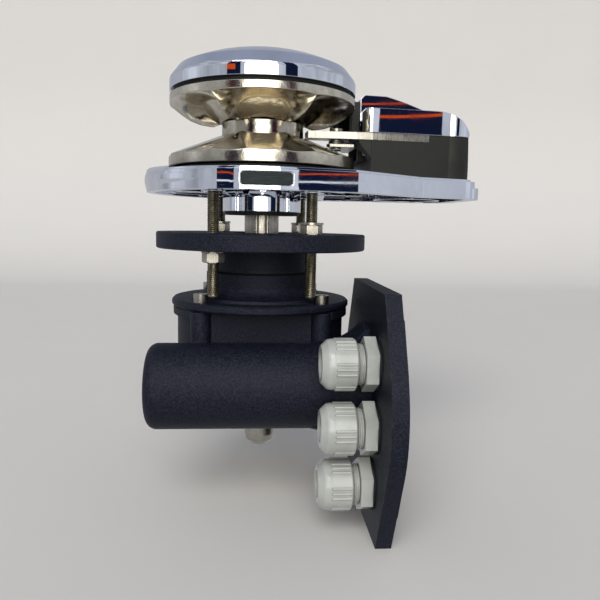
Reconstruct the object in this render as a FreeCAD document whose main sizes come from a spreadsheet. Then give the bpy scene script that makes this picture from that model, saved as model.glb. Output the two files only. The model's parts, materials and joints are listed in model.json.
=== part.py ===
# Vertical anchor windlass: gypsy, clutch and chain pipe above the deck, worm gearbox and motor below it.
# Millimetres. The origin is on the main shaft's axis, in the plane where the base plate meets the deck.
# +Z is up, +X points to the chain pipe and the motor flange, and -Y is the side with the cable glands.

import FreeCAD, Part
import math
import os

import Sketcher

DIMENSIONS = {
    # main shaft and clutch
    "shaft_radius": (12.5, "main shaft"),
    "shaft_top": (92.0, "upper end of the main shaft"),
    "shaft_bottom": (-176.0, "lower end of the main shaft"),
    "running_gap": (0.06, "radial clearance of a running fit"),
    "part_gap": (0.3, "clearance between faces that move past each other"),
    "sleeve_radius": (19.0, "hub of each clutch cone, inside the gypsy"),
    "cone_large": (40.0, "large radius of the clutch cones"),
    "cone_small": (31.0, "small radius of the clutch cones"),
    "cone_depth": (9.0, "axial length of the conical faces"),
    # clutch cap
    "cap_radius": (66.0, "clutch cap"),
    "cap_bottom": (70.2, "lower edge of the cap's skirt"),
    "cap_skirt_top": (78.4, "upper edge of the cap's skirt"),
    "cap_shoulder": (60.0, "radius where the dome meets the shoulder"),
    "cap_shoulder_top": (86.0, "height of that circle"),
    "cap_top": (99.5, "top of the dome"),
    "cap_dome": (137.0, "radius of the dome"),
    "socket_flats": (17.0, "across the flats of the clutch key's socket"),
    "socket_depth": (10.0, "depth of that socket"),
    # gypsy
    "gypsy_radius": (66.0, "upper flange"),
    "gypsy_top": (67.6, "top face"),
    "upper_rim_low": (61.0, "lower edge of the upper rim"),
    "waist_radius": (29.3, "waist between the flanges"),
    "waist_top": (50.2, "upper end of the waist"),
    "waist_bottom": (42.5, "lower end of the waist"),
    "gypsy_low_radius": (66.8, "lower flange"),
    "lower_rim_top": (25.6, "upper edge of the lower rim"),
    "gypsy_bottom": (17.8, "bottom face"),
    "pocket_roof": (62.5, "highest level of the chain pockets in the upper flange"),
    "pocket_end": (27.8, "distance from the axis where a pocket's sloping end meets the waist's top"),
    # base plate
    "base_radius": (82.0, "round end of the base plate"),
    "base_edge": (12.7, "height of the base plate's rim"),
    "base_top": (14.2, "top face of the base plate"),
    "base_guard_top": (23.4, "crest of the guard behind the gypsy"),
    "base_guard_radius": (69.0, "inner radius of the guard"),
    "base_wall": (6.0, "wall round the hollow underside"),
    "base_ceiling": (9.0, "height of the hollow underside"),
    "base_end": (156.8, "end of the base plate below the chain pipe"),
    "base_lip": (3.5, "lip that stands out of the end"),
    "base_lip_top": (8.3, "top of that lip"),
    "hub_radius": (28.5, "bearing hub under the base plate"),
    "hub_bottom": (-12.0, "lower end of the hub"),
    "flute_radius": (2.6, "flutes in the hub's side"),
    # studs and deck flange
    "stud_radius": (4.0, "M8 deck stud"),
    "stud_x": (32.5, "half the studs' spacing along X"),
    "stud_y": (46.0, "half the studs' spacing along Y"),
    "stud_bottom": (-69.2, "lower end of the studs"),
    "nut_flats": (13.0, "across the flats of the M8 nuts"),
    "nut_height": (6.5, "M8 nut"),
    "washer_radius": (8.0, "M8 washer"),
    "washer_height": (1.6, "M8 washer"),
    "flange_radius": (76.0, "deck flange below the deck"),
    "flange_top": (-27.1, "upper face of the deck flange"),
    "flange_bottom": (-38.5, "lower face of the deck flange"),
    "neck_radius": (36.0, "neck under the deck flange"),
    "neck_bottom": (-52.5, "lower end of that neck"),
    "collar_top": (-54.9, "upper end of the gearbox cover's collar"),
    "collar_radius": (40.0, "gearbox cover's collar"),
    "cover_radius": (65.0, "gearbox cover"),
    "cover_top": (-74.2, "upper face of the gearbox cover"),
    "cover_bottom": (-79.8, "lower face of the gearbox cover"),
    "cover_screw_circle": (58.0, "radius of the cover's screw circle"),
    "neck_bore": (22.0, "passage round the shaft"),
    # gearbox
    "body_radius": (61.0, "gearbox body"),
    "body_bore": (50.0, "gear chamber"),
    "body_flat": (-42.0, "flat front of the body"),
    "body_bottom": (-154.0, "lower end of the body"),
    "chamber_bottom": (-146.0, "floor of the gear chamber"),
    "boss_radius": (24.0, "lower bearing boss"),
    "boss_bottom": (-165.0, "lower end of that boss"),
    "worm_y": (-52.0, "worm axis, Y"),
    "worm_z": (-128.7, "worm axis, Z"),
    "tunnel_radius": (28.5, "outside of the worm housing"),
    "tunnel_bore": (24.5, "inside of the worm housing"),
    "tunnel_left": (-75.0, "closed end of the worm housing"),
    "tunnel_fillet": (7.0, "rounding of the closed end"),
    "bell_radius": (44.0, "bell where the housing meets the motor flange"),
    "bell_left": (28.0, "start of the bell"),
    "plate_left": (70.0, "left face of the motor flange"),
    "plate_right": (80.0, "right face of the motor flange"),
    # worm drive
    "worm_pitch_radius": (12.0, "worm"),
    "worm_module": (2.0, "worm and wheel"),
    "wheel_width": (16.0, "face width of the worm wheel"),
    "worm_half_length": (20.0, "half the threaded length of the worm"),
    "worm_shaft_radius": (8.0, "worm shaft in its bearings"),
    # chain pipe
    "pipe_x": (115.0, "chain pipe axis, X"),
    "pipe_y": (30.0, "chain pipe axis, Y"),
    "pipe_radius": (24.0, "chain pipe"),
    "riser_left": (78.3, "left face of the chain pipe's riser"),
    "riser_front": (-9.0, "front face of the riser"),
    "riser_back": (65.0, "back face of the riser"),
    "riser_top": (46.3, "top of the riser"),
    "stripper_low": (41.2, "lower face of the stripper"),
    "stripper_high": (46.2, "upper face of the stripper"),
    "stripper_end": (121.0, "end of the stripper in its notch"),
    "skirt_top": (63.5, "top of the cover's front"),
    "hump_top": (76.5, "highest edge of the cover"),
    "cover_wall": (2.5, "wall of the cover"),
    # cable glands
    "gland_body_flats": (30.0, "across the flats of the gland bodies"),
    "gland_nut_radius": (16.2, "clamp nut of a gland"),
    "gland_thread": (12.0, "thread of the clamp nut"),
    "gland_bore": (8.5, "cable passage"),
}
GLANDS = [(-93.0, -104.3), (-95.7, -143.9), (-88.0, -182.7)]
UPRIGHT = FreeCAD.Rotation()
ALONG_X = FreeCAD.Rotation(FreeCAD.Vector(0, 1, 0), 90)
ALONG_Y = FreeCAD.Rotation(FreeCAD.Vector(1, 0, 0), -90)
POCKETS = range(30, 390, 60)
COVER_SCREW_AZIMUTHS = (-135, -45, 45, 135)
HUB_FLUTES = range(-126, 234, 72)
RIDGE_HALF_WIDTH = 0.7
# Distance from the axis, and level of the ridges beside the pocket
UPPER_CRESTS = [(26, 50.3), (31, 47.6), (38, 48.6), (45, 51.6), (52, 56.8), (57.2, 60.9), (68, 61.6)]
# Distance from the axis, half width and level of the flat, level of the ridges, radius of the scoops
LOWER_FLATS = [
    (33, 14, 38.9, 40.0, 8),
    (45, 15, 34.3, 34.2, 9),
    (57, 12.8, 29.6, 27.6, 26),
    (70, 9.8, 24.5, 20.6, 50),
]
POCKET_END_SLOPE = 37.6
WORM_LEAD_ANGLE = 4.76
WHEEL_TEETH = 40
RISER_SCREWS = [(85, -3), (85, 59), (135, 4), (135, 54)]
STRIPPER_SCREWS = (76, 101)
TERMINAL_COVER_SCREWS = [(-90, -72.5), (-14, -72.5), (-88, -203.5), (-16, -203.5)]
TERMINAL_STUDS = (-57, -43, -29)
FINGER_PIVOT = (53.5, -2.0)
FINGER_PIN_RADIUS = 2.5

doc = FreeCAD.newDocument("windlass")
pieces = []


class Size:
    """A length with its value and the spreadsheet expression that gives it."""

    def __init__(self, value, text=None):
        self.value = float(value)
        self.text = text or f"({self.value:.6g})"

    def __add__(self, other):
        other = size(other)
        return Size(self.value + other.value, f"({self.text} + {other.text})")

    def __sub__(self, other):
        other = size(other)
        return Size(self.value - other.value, f"({self.text} - {other.text})")

    def __mul__(self, factor):
        factor = size(factor)
        return Size(self.value * factor.value, f"({self.text} * {factor.text})")

    def __neg__(self):
        return Size(-self.value, f"(0 - {self.text})")


def size(number):
    return number if isinstance(number, Size) else Size(number)


def around(radius, degrees):
    """X and Y of a point on a circle about the main axis."""
    radius = size(radius)
    turn = math.radians(degrees)
    x = Size(radius.value * math.cos(turn), f"({radius.text} * cos({degrees} deg))")
    y = Size(radius.value * math.sin(turn), f"({radius.text} * sin({degrees} deg))")
    return x, y


class Dims:
    """The spreadsheet's cells as attributes."""

    def __init__(self):
        self.sheet = doc.addObject("Spreadsheet::Sheet", "Dims")
        for row, (name, (value, note)) in enumerate(DIMENSIONS.items(), 1):
            self.sheet.set(f"A{row}", note)
            self.sheet.set(f"B{row}", str(value))
            self.sheet.setAlias(f"B{row}", name)
            setattr(self, name, Size(value, f"Dims.{name}"))
        doc.recompute()


d = Dims()


def bind(thing, **sizes):
    for name, value in sizes.items():
        thing.setExpression(name, size(value).text)
    return thing


def put(thing, x=0, y=0, z=0, turn=UPRIGHT):
    thing.Placement = FreeCAD.Placement(FreeCAD.Vector(size(x).value, size(y).value, size(z).value), turn)
    for axis, value in zip("xyz", (x, y, z)):
        thing.setExpression(f"Placement.Base.{axis}", size(value).text)
    return thing


def rod(radius, length, x=0, y=0, z=0, turn=UPRIGHT):
    shape = doc.addObject("Part::Cylinder", "Rod")
    return put(bind(shape, Radius=radius, Height=length), x, y, z, turn)


def taper(radius, end_radius, length, x=0, y=0, z=0, turn=UPRIGHT):
    shape = doc.addObject("Part::Cone", "Taper")
    return put(bind(shape, Radius1=radius, Radius2=end_radius, Height=length), x, y, z, turn)


def block(start, end, turn=UPRIGHT):
    shape = doc.addObject("Part::Box", "Block")
    spans = [size(b) - size(a) for a, b in zip(start, end)]
    bind(shape, Length=spans[0], Width=spans[1], Height=spans[2])
    return put(shape, *start, turn)


def hexagon(flats, length, x=0, y=0, z=0, turn=UPRIGHT):
    shape = doc.addObject("Part::Prism", "Hexagon")
    shape.Polygon = 6
    corner = size(flats) * (0.5 / math.cos(math.radians(30)))
    return put(bind(shape, Circumradius=corner, Height=length), x, y, z, turn)


def fuse(*shapes):
    whole = doc.addObject("Part::MultiFuse", "Fuse")
    whole.Shapes = list(shapes)
    whole.Refine = True
    return whole


def cut(base, *tools):
    result = doc.addObject("Part::Cut", "Cut")
    result.Base = base
    result.Tool = tools[0] if len(tools) == 1 else fuse(*tools)
    result.Refine = True
    return result


def common(first, second):
    result = doc.addObject("Part::MultiCommon", "Common")
    result.Shapes = [first, second]
    return result


def tube(radius, bore, length, x=0, y=0, z=0, turn=UPRIGHT):
    return cut(rod(radius, length, x, y, z, turn), rod(bore, length, x, y, z, turn))


def rounded(base, radius, chosen):
    """Fillet the edges of a shape that a test on the edge picks."""
    doc.recompute()
    edges = [i for i, edge in enumerate(base.Shape.Edges, 1) if chosen(edge)]
    result = doc.addObject("Part::Fillet", "Rounded")
    result.Base = base
    result.Edges = [(i, radius, radius) for i in edges]
    return result


def circle_at(radius, **where):
    """Test for a full circular edge of one radius with its centre on one coordinate."""

    def test(edge):
        if edge.Degenerated:
            return False
        curve = edge.Curve
        if not isinstance(curve, Part.Circle) or abs(curve.Radius - radius.value) > 0.01:
            return False
        return all(abs(getattr(curve.Center, axis) - size(v).value) < 0.01 for axis, v in where.items())

    return test


def piece(label, shape):
    shape.Label = label
    pieces.append(shape)
    return shape


def group(label, shapes):
    """One node that holds several separate identical solids."""
    compound = doc.addObject("Part::Compound", "Group")
    compound.Links = list(shapes)
    return piece(label, compound)


def origin_plane(body, role):
    return next(f for f in body.Origin.OriginFeatures if f.Role == role)


def new_sketch(body, role, offset=0):
    sketch = body.newObject("Sketcher::SketchObject", "Sketch")
    sketch.AttachmentSupport = [(origin_plane(body, role), "")]
    sketch.MapMode = "FlatFace"
    sketch.AttachmentOffset = FreeCAD.Placement(FreeCAD.Vector(0, 0, size(offset).value), UPRIGHT)
    sketch.setExpression("AttachmentOffset.Base.z", size(offset).text)
    return sketch


def arc_between(start, end, radius):
    """Arc to the left of the line from start to end, or to the right for a negative radius."""
    chord = end - start
    side = FreeCAD.Vector(-chord.y, chord.x, 0).normalize()
    half = chord.Length / 2
    rise = abs(radius) - math.sqrt(radius**2 - half**2)
    middle = (start + end) / 2 + side * math.copysign(rise, radius)
    return Part.Arc(start, middle, end)


def draw(sketch, outline):
    """Closed outline of (u, v) or (u, v, radius); a radius curves the side that starts at that corner."""
    corners = [FreeCAD.Vector(size(c[0]).value, size(c[1]).value, 0) for c in outline]
    count = len(corners)
    for i, corner in enumerate(outline):
        start, end = corners[i], corners[(i + 1) % count]
        if len(corner) == 3:
            sketch.addGeometry(arc_between(start, end, size(corner[2]).value))
        else:
            sketch.addGeometry(Part.LineSegment(start, end))
    ends = [end_points(corner) for corner in outline]
    for i, corner in enumerate(outline):
        after = (i + 1) % count
        sketch.addConstraint(Sketcher.Constraint("Coincident", i, ends[i][1], after, ends[after][0]))
        for kind, value in zip(("DistanceX", "DistanceY"), corner):
            lock(sketch, kind, i, ends[i][0], size(value))
        if len(corner) == 3:
            index = sketch.addConstraint(Sketcher.Constraint("Radius", i, abs(size(corner[2]).value)))
            text = size(corner[2]).text
            sketch.setExpression(f"Constraints[{index}]", f"abs({text})")


def end_points(corner):
    """Point numbers of the start and the end of a side: arcs run anticlockwise in a sketch."""
    clockwise = len(corner) == 3 and size(corner[2]).value > 0
    return (2, 1) if clockwise else (1, 2)


def lock(sketch, kind, geometry, point, value):
    """Fix one coordinate of a point to a spreadsheet expression."""
    if abs(value.value) < 1e-9:
        on_axis = -2 if kind == "DistanceX" else -1
        sketch.addConstraint(Sketcher.Constraint("PointOnObject", geometry, point, on_axis))
        return
    index = sketch.addConstraint(Sketcher.Constraint(kind, -1, 1, geometry, point, value.value))
    sketch.setExpression(f"Constraints[{index}]", value.text)


def turned(outline, x=0, y=0, z=0, turn=UPRIGHT):
    """Body of revolution from its half section, given as radius and height."""
    body = doc.addObject("PartDesign::Body", "Turned")
    sketch = new_sketch(body, "XZ_Plane")
    draw(sketch, outline)
    revolution = body.newObject("PartDesign::Revolution", "Revolution")
    revolution.Profile = sketch
    revolution.ReferenceAxis = (sketch, ["V_Axis"])
    revolution.Angle = 360
    return put(body, x, y, z, turn)


def plate(outline, low, high, role="XY_Plane"):
    """Flat body with an outline, between two positions along the plane's normal."""
    body = doc.addObject("PartDesign::Body", "Plate")
    sketch = new_sketch(body, role, low)
    draw(sketch, outline)
    pad = body.newObject("PartDesign::Pad", "Pad")
    pad.Profile = sketch
    bind(pad, Length=size(high) - size(low))
    return body


def front_plate(outline, front, back):
    """Flat body with a front outline of X and Z, between two Y positions."""
    return plate(outline, -size(back), -size(front), "XZ_Plane")


def at_studs(make, **sizes):
    """The same shape at each of the four deck studs."""
    return [make(sx, sy, **sizes) for sx in (-1, 1) for sy in (-1, 1)]


# --- clutch and gypsy ---------------------------------------------------------------------------


def clutch_cap():
    dome = turned(
        [
            (0, d.cap_bottom),
            (22, d.cap_bottom),
            (22, d.cap_skirt_top),
            (d.cap_radius - 6, d.cap_skirt_top),
            (d.cap_radius - 4, d.cap_bottom),
            (d.cap_radius, d.cap_bottom),
            (d.cap_radius, d.cap_skirt_top),
            (d.cap_shoulder, d.cap_shoulder_top, -d.cap_dome),
            (0, d.cap_top),
        ]
    )
    dome = rounded(dome, 5.0, circle_at(d.cap_radius, z=d.cap_skirt_top))
    thread = rod(d.shaft_radius - 2.4, 24, z=d.cap_bottom - 1)
    socket = hexagon(d.socket_flats, d.socket_depth, z=d.cap_top - d.socket_depth + 0.5)
    mouth = taper(8.5, 11.5, 3, z=d.cap_top - 2.5)
    return piece("clutch_cap", cut(dome, thread, socket, mouth))


def cap_seal():
    outer = d.cap_radius - 2.8
    inner = d.cap_radius - 8
    section = [
        (inner, d.gypsy_top + 0.3),
        (outer, d.gypsy_top + 0.3),
        (outer, d.cap_bottom),
        (outer - 1.3, d.cap_bottom),
        (outer - 2.2, d.cap_bottom + 2.8),
        (inner, d.cap_bottom + 2.8),
    ]
    return piece("cap_seal", turned(section))


def clutch_sections():
    """Half sections of the lower and upper clutch cones."""
    bore = d.shaft_radius + d.running_gap
    low_start = d.gypsy_bottom + 0.6
    lower = [
        (bore, low_start),
        (d.cone_large, low_start),
        (d.cone_small, low_start + d.cone_depth),
        (d.sleeve_radius, low_start + d.cone_depth),
        (d.sleeve_radius, d.waist_bottom - 2),
        (bore, d.waist_bottom - 2),
    ]
    high_start = d.gypsy_top - 0.6
    upper = [
        (bore, d.waist_top - 2),
        (d.sleeve_radius, d.waist_top - 2),
        (d.sleeve_radius, high_start - d.cone_depth),
        (d.cone_small, high_start - d.cone_depth),
        (d.cone_large, high_start),
        (d.sleeve_radius + 4, high_start),
        (d.sleeve_radius + 4, d.cap_bottom - 0.05),
        (bore, d.cap_bottom - 0.05),
    ]
    return lower, upper


def key_seat(low, high):
    return block((d.shaft_radius - 3, -3, low), (d.shaft_radius + 2.6, 3, high))


def clutch_cones():
    lower, upper = clutch_sections()
    low_seat = key_seat(d.gypsy_bottom, d.waist_bottom)
    high_seat = key_seat(d.waist_top - 4, d.cap_bottom + 1)
    piece("lower_clutch_cone", cut(turned(lower), low_seat))
    piece("upper_clutch_cone", cut(turned(upper), high_seat))


def gypsy_blank():
    """Both flanges, with the seats of the clutch cones cut into their faces."""
    bore = d.sleeve_radius + d.running_gap
    seat = d.part_gap
    low_seat = d.gypsy_bottom + 0.6 + d.cone_depth
    high_seat = d.gypsy_top - 0.6 - d.cone_depth
    return turned(
        [
            (bore, low_seat + seat),
            (d.cone_small + seat, low_seat + seat),
            (d.cone_large + seat + 0.6, d.gypsy_bottom),
            (d.gypsy_low_radius, d.gypsy_bottom),
            (d.gypsy_low_radius, d.lower_rim_top + 0.8),
            (34, 40.4),
            (d.waist_radius, d.waist_bottom),
            (d.waist_radius, d.waist_top),
            (36, 47.6, -43.4),
            (d.gypsy_radius, d.upper_rim_low),
            (d.gypsy_radius, d.gypsy_top),
            (d.cone_large + seat + 0.6, d.gypsy_top),
            (d.cone_small + seat, high_seat - seat),
            (bore, high_seat - seat),
        ]
    )


def pocket_body(azimuth, sections):
    """Solid through outlines at several distances from the axis, turned to a pocket's azimuth."""
    body = doc.addObject("PartDesign::Body", "Pocket")
    sketches = []
    for distance, outline in sections:
        sketch = new_sketch(body, "YZ_Plane", distance)
        draw(sketch, outline)
        sketches.append(sketch)
    loft = body.newObject("PartDesign::AdditiveLoft", "Loft")
    loft.Profile = sketches[0]
    loft.Sections = sketches[1:]
    return put(body, turn=FreeCAD.Rotation(FreeCAD.Vector(0, 0, 1), azimuth))


def arch_radius(half_width, rise):
    return (half_width**2 + rise**2) / (2 * rise)


def pocket_half_width(distance):
    """Half the room between two neighbouring ridges."""
    return distance * math.tan(math.radians(30)) - RIDGE_HALF_WIDTH


def upper_pocket(azimuth):
    """Arched scoop from ridge to ridge, with a sloping flat at its inner end."""
    sections = []
    for distance, crest in UPPER_CRESTS:
        half = pocket_half_width(distance)
        arch = arch_radius(half, d.pocket_roof.value - crest)
        sections.append((distance, [(-half, 40), (half, 40), (half, crest, -arch), (-half, crest)]))
    x, y = around(d.pocket_end, azimuth)
    side_x, side_y = around(30, azimuth - 90)
    heading = FreeCAD.Rotation(FreeCAD.Vector(0, 0, 1), azimuth)
    tilt = heading * FreeCAD.Rotation(FreeCAD.Vector(0, 1, 0), -POCKET_END_SLOPE)
    end = put(doc.addObject("Part::Box", "End"), x + side_x, y + side_y, d.waist_top, tilt)
    bind(end, Length=60, Width=60, Height=40)
    waist = rod(d.waist_radius + 0.4, 30, z=d.waist_top - 30.3)
    return cut(pocket_body(azimuth, sections), end, waist)


def lower_pocket(azimuth):
    """Flat that slopes down and narrows to the rim, with a shallow scoop on each side of it."""
    sections = []
    for distance, flat, floor, crest, scoop in LOWER_FLATS:
        half = pocket_half_width(distance)
        right = [(flat, floor, -scoop), (half, crest), (half, 60)]
        left = [(-half, 60), (-half, crest, -scoop), (-flat, floor)]
        sections.append((distance, right + left))
    return pocket_body(azimuth, sections)


def gypsy():
    pockets = [upper_pocket(a) for a in POCKETS] + [lower_pocket(a) for a in POCKETS]
    return piece("gypsy", cut(gypsy_blank(), *pockets))


# --- main shaft ---------------------------------------------------------------------------------


def main_shaft():
    end = d.shaft_radius - 2.5
    foot = d.shaft_radius - 4.5
    blank = turned(
        [
            (0, d.shaft_bottom - 6),
            (foot, d.shaft_bottom - 6),
            (foot, d.boss_bottom + 1),
            (d.shaft_radius, d.boss_bottom + 1),
            (d.shaft_radius, d.base_top + 0.6),
            (d.shaft_radius + 4, d.base_top + 0.6),
            (d.shaft_radius + 4, d.gypsy_bottom + 0.6),
            (d.shaft_radius, d.gypsy_bottom + 0.6),
            (d.shaft_radius, d.cap_bottom - 0.6),
            (end, d.cap_bottom - 0.6),
            (end, d.shaft_top),
            (0, d.shaft_top),
        ]
    )
    grooves = [shaft_groove(azimuth) for azimuth in (-108, -72, 90)]
    keys = [key_seat(d.gypsy_bottom + 4, d.waist_bottom - 4), key_seat(d.waist_top, d.cap_bottom - 4)]
    return piece("main_shaft", cut(blank, wheel_key_block(), *keys, *grooves))


def shaft_groove(azimuth):
    x, y = around(d.shaft_radius + 0.6, azimuth)
    return rod(1.8, 46, x, y, d.hub_bottom - 48)


def wheel_key_block():
    return block((d.shaft_radius - 3, -3, d.worm_z - 7), (d.shaft_radius + 2.6, 3, d.worm_z + 7))


def shaft_keys():
    low = key_seat(d.gypsy_bottom + 4, d.waist_bottom - 4)
    high = key_seat(d.waist_top, d.cap_bottom - 4)
    group("shaft_keys", [low, high])
    piece("wheel_key", wheel_key_block())


def shaft_end_nut():
    top = d.boss_bottom - 0.8
    foot = d.shaft_radius - 4.5
    nut = turned(
        [
            (0, -187.0),
            (6.5, -187.0),
            (10.4, -183.5),
            (11.35, -179.0),
            (11.35, top),
            (foot, top),
            (foot, d.shaft_bottom - 6),
            (0, d.shaft_bottom - 6),
        ]
    )
    return piece("shaft_end_nut", nut)


def bearings():
    bore = d.shaft_radius + d.running_gap
    piece("hub_bush", tube(17.5, bore, 20, z=d.hub_bottom + 2))
    piece("hub_seal", tube(d.hub_radius - 1.5, d.shaft_radius + d.part_gap, 2.4, z=d.hub_bottom - 2.4))
    piece("base_seal", tube(63, 55, 3.1, z=d.base_top))
    piece("upper_bearing", tube(d.neck_bore, bore, 12, z=d.cover_top - 8))
    piece("lower_bearing", tube(20, bore, 10, z=d.chamber_bottom - 12))
    seal_foot = d.shaft_radius + d.part_gap
    piece("output_seal", tube(d.neck_bore, seal_foot, 6, z=d.neck_bottom + 4))
    groove = turned(
        [
            (d.neck_bore, d.collar_top),
            (d.neck_radius - 1.5, d.collar_top),
            (d.neck_radius - 1.5, d.neck_bottom),
            (d.neck_bore, d.neck_bottom),
        ]
    )
    piece("neck_gasket", groove)


# --- base plate ---------------------------------------------------------------------------------


def base_outline(inset=0):
    """Round end about the shaft, with a narrower end below the chain pipe."""
    inset = size(inset)
    radius = d.base_radius - inset
    end = d.base_end - inset
    side_x, side_y = around(radius, -80)
    return [
        (0, -radius, -radius),
        (side_x, side_y, -600),
        (59 - inset.value * 0.4, inset - 71.5),
        (112 - inset.value * 0.3, inset - 30),
        (146 - inset.value * 0.3, inset - 20, -16),
        (end, inset - 6),
        (end, Size(58) - inset, -20),
        (140, Size(74) - inset),
        (0, radius, -radius),
        (-radius, 0, -radius),
    ]


def guard():
    """Raised rim behind the gypsy, cut away on the side that the chain comes in from."""
    rim = turned(
        [
            (d.base_guard_radius, 4),
            (d.base_radius - 1.3, 0),
            (d.base_radius + 0.2, 6.5),
            (d.base_radius + 0.1, 10),
            (d.base_radius - 1.5, 15.1, -22),
            (d.base_guard_radius + 1.4, d.base_guard_top),
            (d.base_guard_radius, d.base_guard_top - 1.2),
        ],
        x=-1.3,
        y=0.9,
    )
    ramp = [(-100, d.base_edge), (-34, d.base_edge), (55, 27), (55, 40), (-100, 40)]
    front = plate(ramp, -100, 100, "YZ_Plane")
    return cut(rim, front, block((52, -100, -5), (100, 100, 40)))


def base_lip():
    end = d.base_end + d.base_lip
    return plate(
        [(140, -19), (150, -17, -14), (end, -2), (end, 52, -14), (150, 66), (140, 66)],
        0,
        d.base_lip_top,
    )


def base_plate():
    deck = plate(base_outline(), 0, d.base_edge)
    step = plate(base_outline(2.5), d.base_edge - 1, d.base_top)
    hollow = plate(base_outline(d.base_wall), -1, d.base_ceiling)
    shell = cut(fuse(deck, step, base_lip()), hollow)
    hub = rod(d.hub_radius, d.base_edge - d.hub_bottom - 1, z=d.hub_bottom)
    flutes = [hub_flute(azimuth) for azimuth in HUB_FLUTES]
    bosses = at_studs(stud_boss)
    collar = rod(d.pipe_radius + 2.0, d.base_ceiling, d.pipe_x, d.pipe_y)
    web_x = block((-78, -2, 1), (72, 2, d.base_ceiling + 1))
    web_y = block((-2, -78, 1), (2, 78, d.base_ceiling + 1))
    solid = fuse(shell, guard(), cut(hub, *flutes), collar, web_x, web_y, *bosses)
    shaft_bore = rod(17.5, 40, z=d.hub_bottom - 1)
    pipe_bore = rod(d.pipe_radius, 30, d.pipe_x, d.pipe_y, -2)
    screw_holes = [rod(2.6, 16, x, y, -1) for x, y in RISER_SCREWS]
    label = label_block(3.2)
    openings = [shaft_bore, pipe_bore, label] + screw_holes + at_studs(stud_hole)
    return piece("base_plate", cut(solid, *openings))


def hub_flute(azimuth):
    x, y = around(d.hub_radius + 0.6, azimuth)
    return rod(d.flute_radius, 30, x, y, d.hub_bottom - 5)


def stud_boss(sx, sy):
    return rod(8, d.base_ceiling, d.stud_x * sx, d.stud_y * sy)


def stud_hole(sx, sy):
    return rod(d.stud_radius, 12, d.stud_x * sx, d.stud_y * sy, -1)


def label_block(depth):
    """Room for the blank label on the front of the rim."""
    outline = label_outline(0.4)
    return front_plate(outline, -d.base_radius - 3, -d.base_radius + depth)


def label_outline(margin=0):
    """Rectangle with rounded ends, to one side of the middle."""
    left, right = -14.2 - margin, 17.4 + margin
    low, high = 3.0 - margin, 10.6 + margin
    corner = 1.8
    return [
        (left + corner, low),
        (right - corner, low, -corner),
        (right, low + corner),
        (right, high - corner, -corner),
        (right - corner, high),
        (left + corner, high, -corner),
        (left, high - corner),
        (left, low + corner, -corner),
    ]


def label_plate():
    back = -d.base_radius + 3.2
    face = front_plate(label_outline(), -d.base_radius - 0.1, back)
    return piece("label_plate", common(face, rod(d.base_radius + 0.15, 20)))


# --- deck studs and flange ----------------------------------------------------------------------


def deck_studs():
    def stud(sx, sy):
        x, y = d.stud_x * sx, d.stud_y * sy
        shank = rod(d.stud_radius, Size(11) - d.stud_bottom - 1, x, y, d.stud_bottom + 1)
        point = taper(3.2, d.stud_radius, 1, x, y, d.stud_bottom)
        return fuse(shank, point)

    group("deck_studs", at_studs(stud))


def nut_below(sx, sy):
    """The front left stud has its nut and washer below the deck flange, the others above it."""
    return sx < 0 and sy < 0


def stud_fasteners():
    def washer(sx, sy):
        x, y = d.stud_x * sx, d.stud_y * sy
        z = d.flange_bottom - d.washer_height if nut_below(sx, sy) else d.flange_top + d.nut_height
        return tube(d.washer_radius, d.stud_radius + 0.3, d.washer_height, x, y, z)

    def nut(sx, sy):
        below = d.flange_bottom - d.washer_height - d.nut_height
        z = below if nut_below(sx, sy) else d.flange_top
        x, y = d.stud_x * sx, d.stud_y * sy
        blank = common(hexagon(d.nut_flats, d.nut_height, x, y, z), nut_rounding(x, y, z))
        return cut(blank, rod(d.stud_radius, d.nut_height + 2, x, y, z - 1))

    group("stud_washers", at_studs(washer))
    group("stud_nuts", at_studs(nut))


def nut_rounding(x, y, z):
    """Double cone that bevels the corners of a nut."""
    wide = d.nut_flats * 0.5 + 4.2
    low = taper(d.nut_flats * 0.5 + 0.2, wide, 3.5, x, y, z)
    high = taper(wide, d.nut_flats * 0.5 + 0.2, 3, x, y, z + 3.5)
    return fuse(low, high)


def deck_flange():
    blank = turned(
        [
            (d.neck_bore, d.neck_bottom),
            (d.neck_radius, d.neck_bottom),
            (d.neck_radius, d.flange_bottom - 2),
            (d.neck_radius + 2, d.flange_bottom),
            (d.flange_radius - 0.8, d.flange_bottom),
            (d.flange_radius, d.flange_bottom + 0.8),
            (d.flange_radius, d.flange_top - 0.8),
            (d.flange_radius - 0.8, d.flange_top),
            (d.neck_bore, d.flange_top),
        ]
    )

    def hole(sx, sy):
        return rod(d.stud_radius + 0.4, 20, d.stud_x * sx, d.stud_y * sy, d.flange_bottom - 4)

    return piece("deck_flange", cut(blank, *at_studs(hole)))


def gearbox_cover():
    blank = turned(
        [
            (d.neck_bore, d.cover_bottom),
            (d.cover_radius - 1.5, d.cover_bottom),
            (d.cover_radius, d.cover_bottom + 1.5),
            (d.cover_radius, d.cover_top - 1.5),
            (d.cover_radius - 1.5, d.cover_top),
            (51, d.cover_top),
            (50, d.cover_top + 2),
            (46, d.cover_top + 2.4, 9),
            (d.collar_radius, d.cover_top + 9),
            (d.collar_radius, d.collar_top - 1),
            (d.collar_radius - 1, d.collar_top),
            (d.neck_bore, d.collar_top),
        ]
    )
    holes = [rod(3.2, 12, x, y, d.cover_bottom - 3) for x, y in cover_screw_places()]
    return piece("gearbox_cover", cut(blank, *holes))


def cover_screw_places():
    return [around(d.cover_screw_circle, azimuth) for azimuth in COVER_SCREW_AZIMUTHS]


def socket_screw(x, y, seat, head_radius=5.0, head=6.0, shank=3.0, length=16.0):
    """Socket head cap screw standing upright on its seat."""
    body = fuse(rod(head_radius, head, x, y, seat), rod(shank, length, x, y, size(seat) - length))
    socket = hexagon(head_radius, head * 0.55, x, y, size(seat) + head * 0.5)
    return cut(body, socket)


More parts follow.
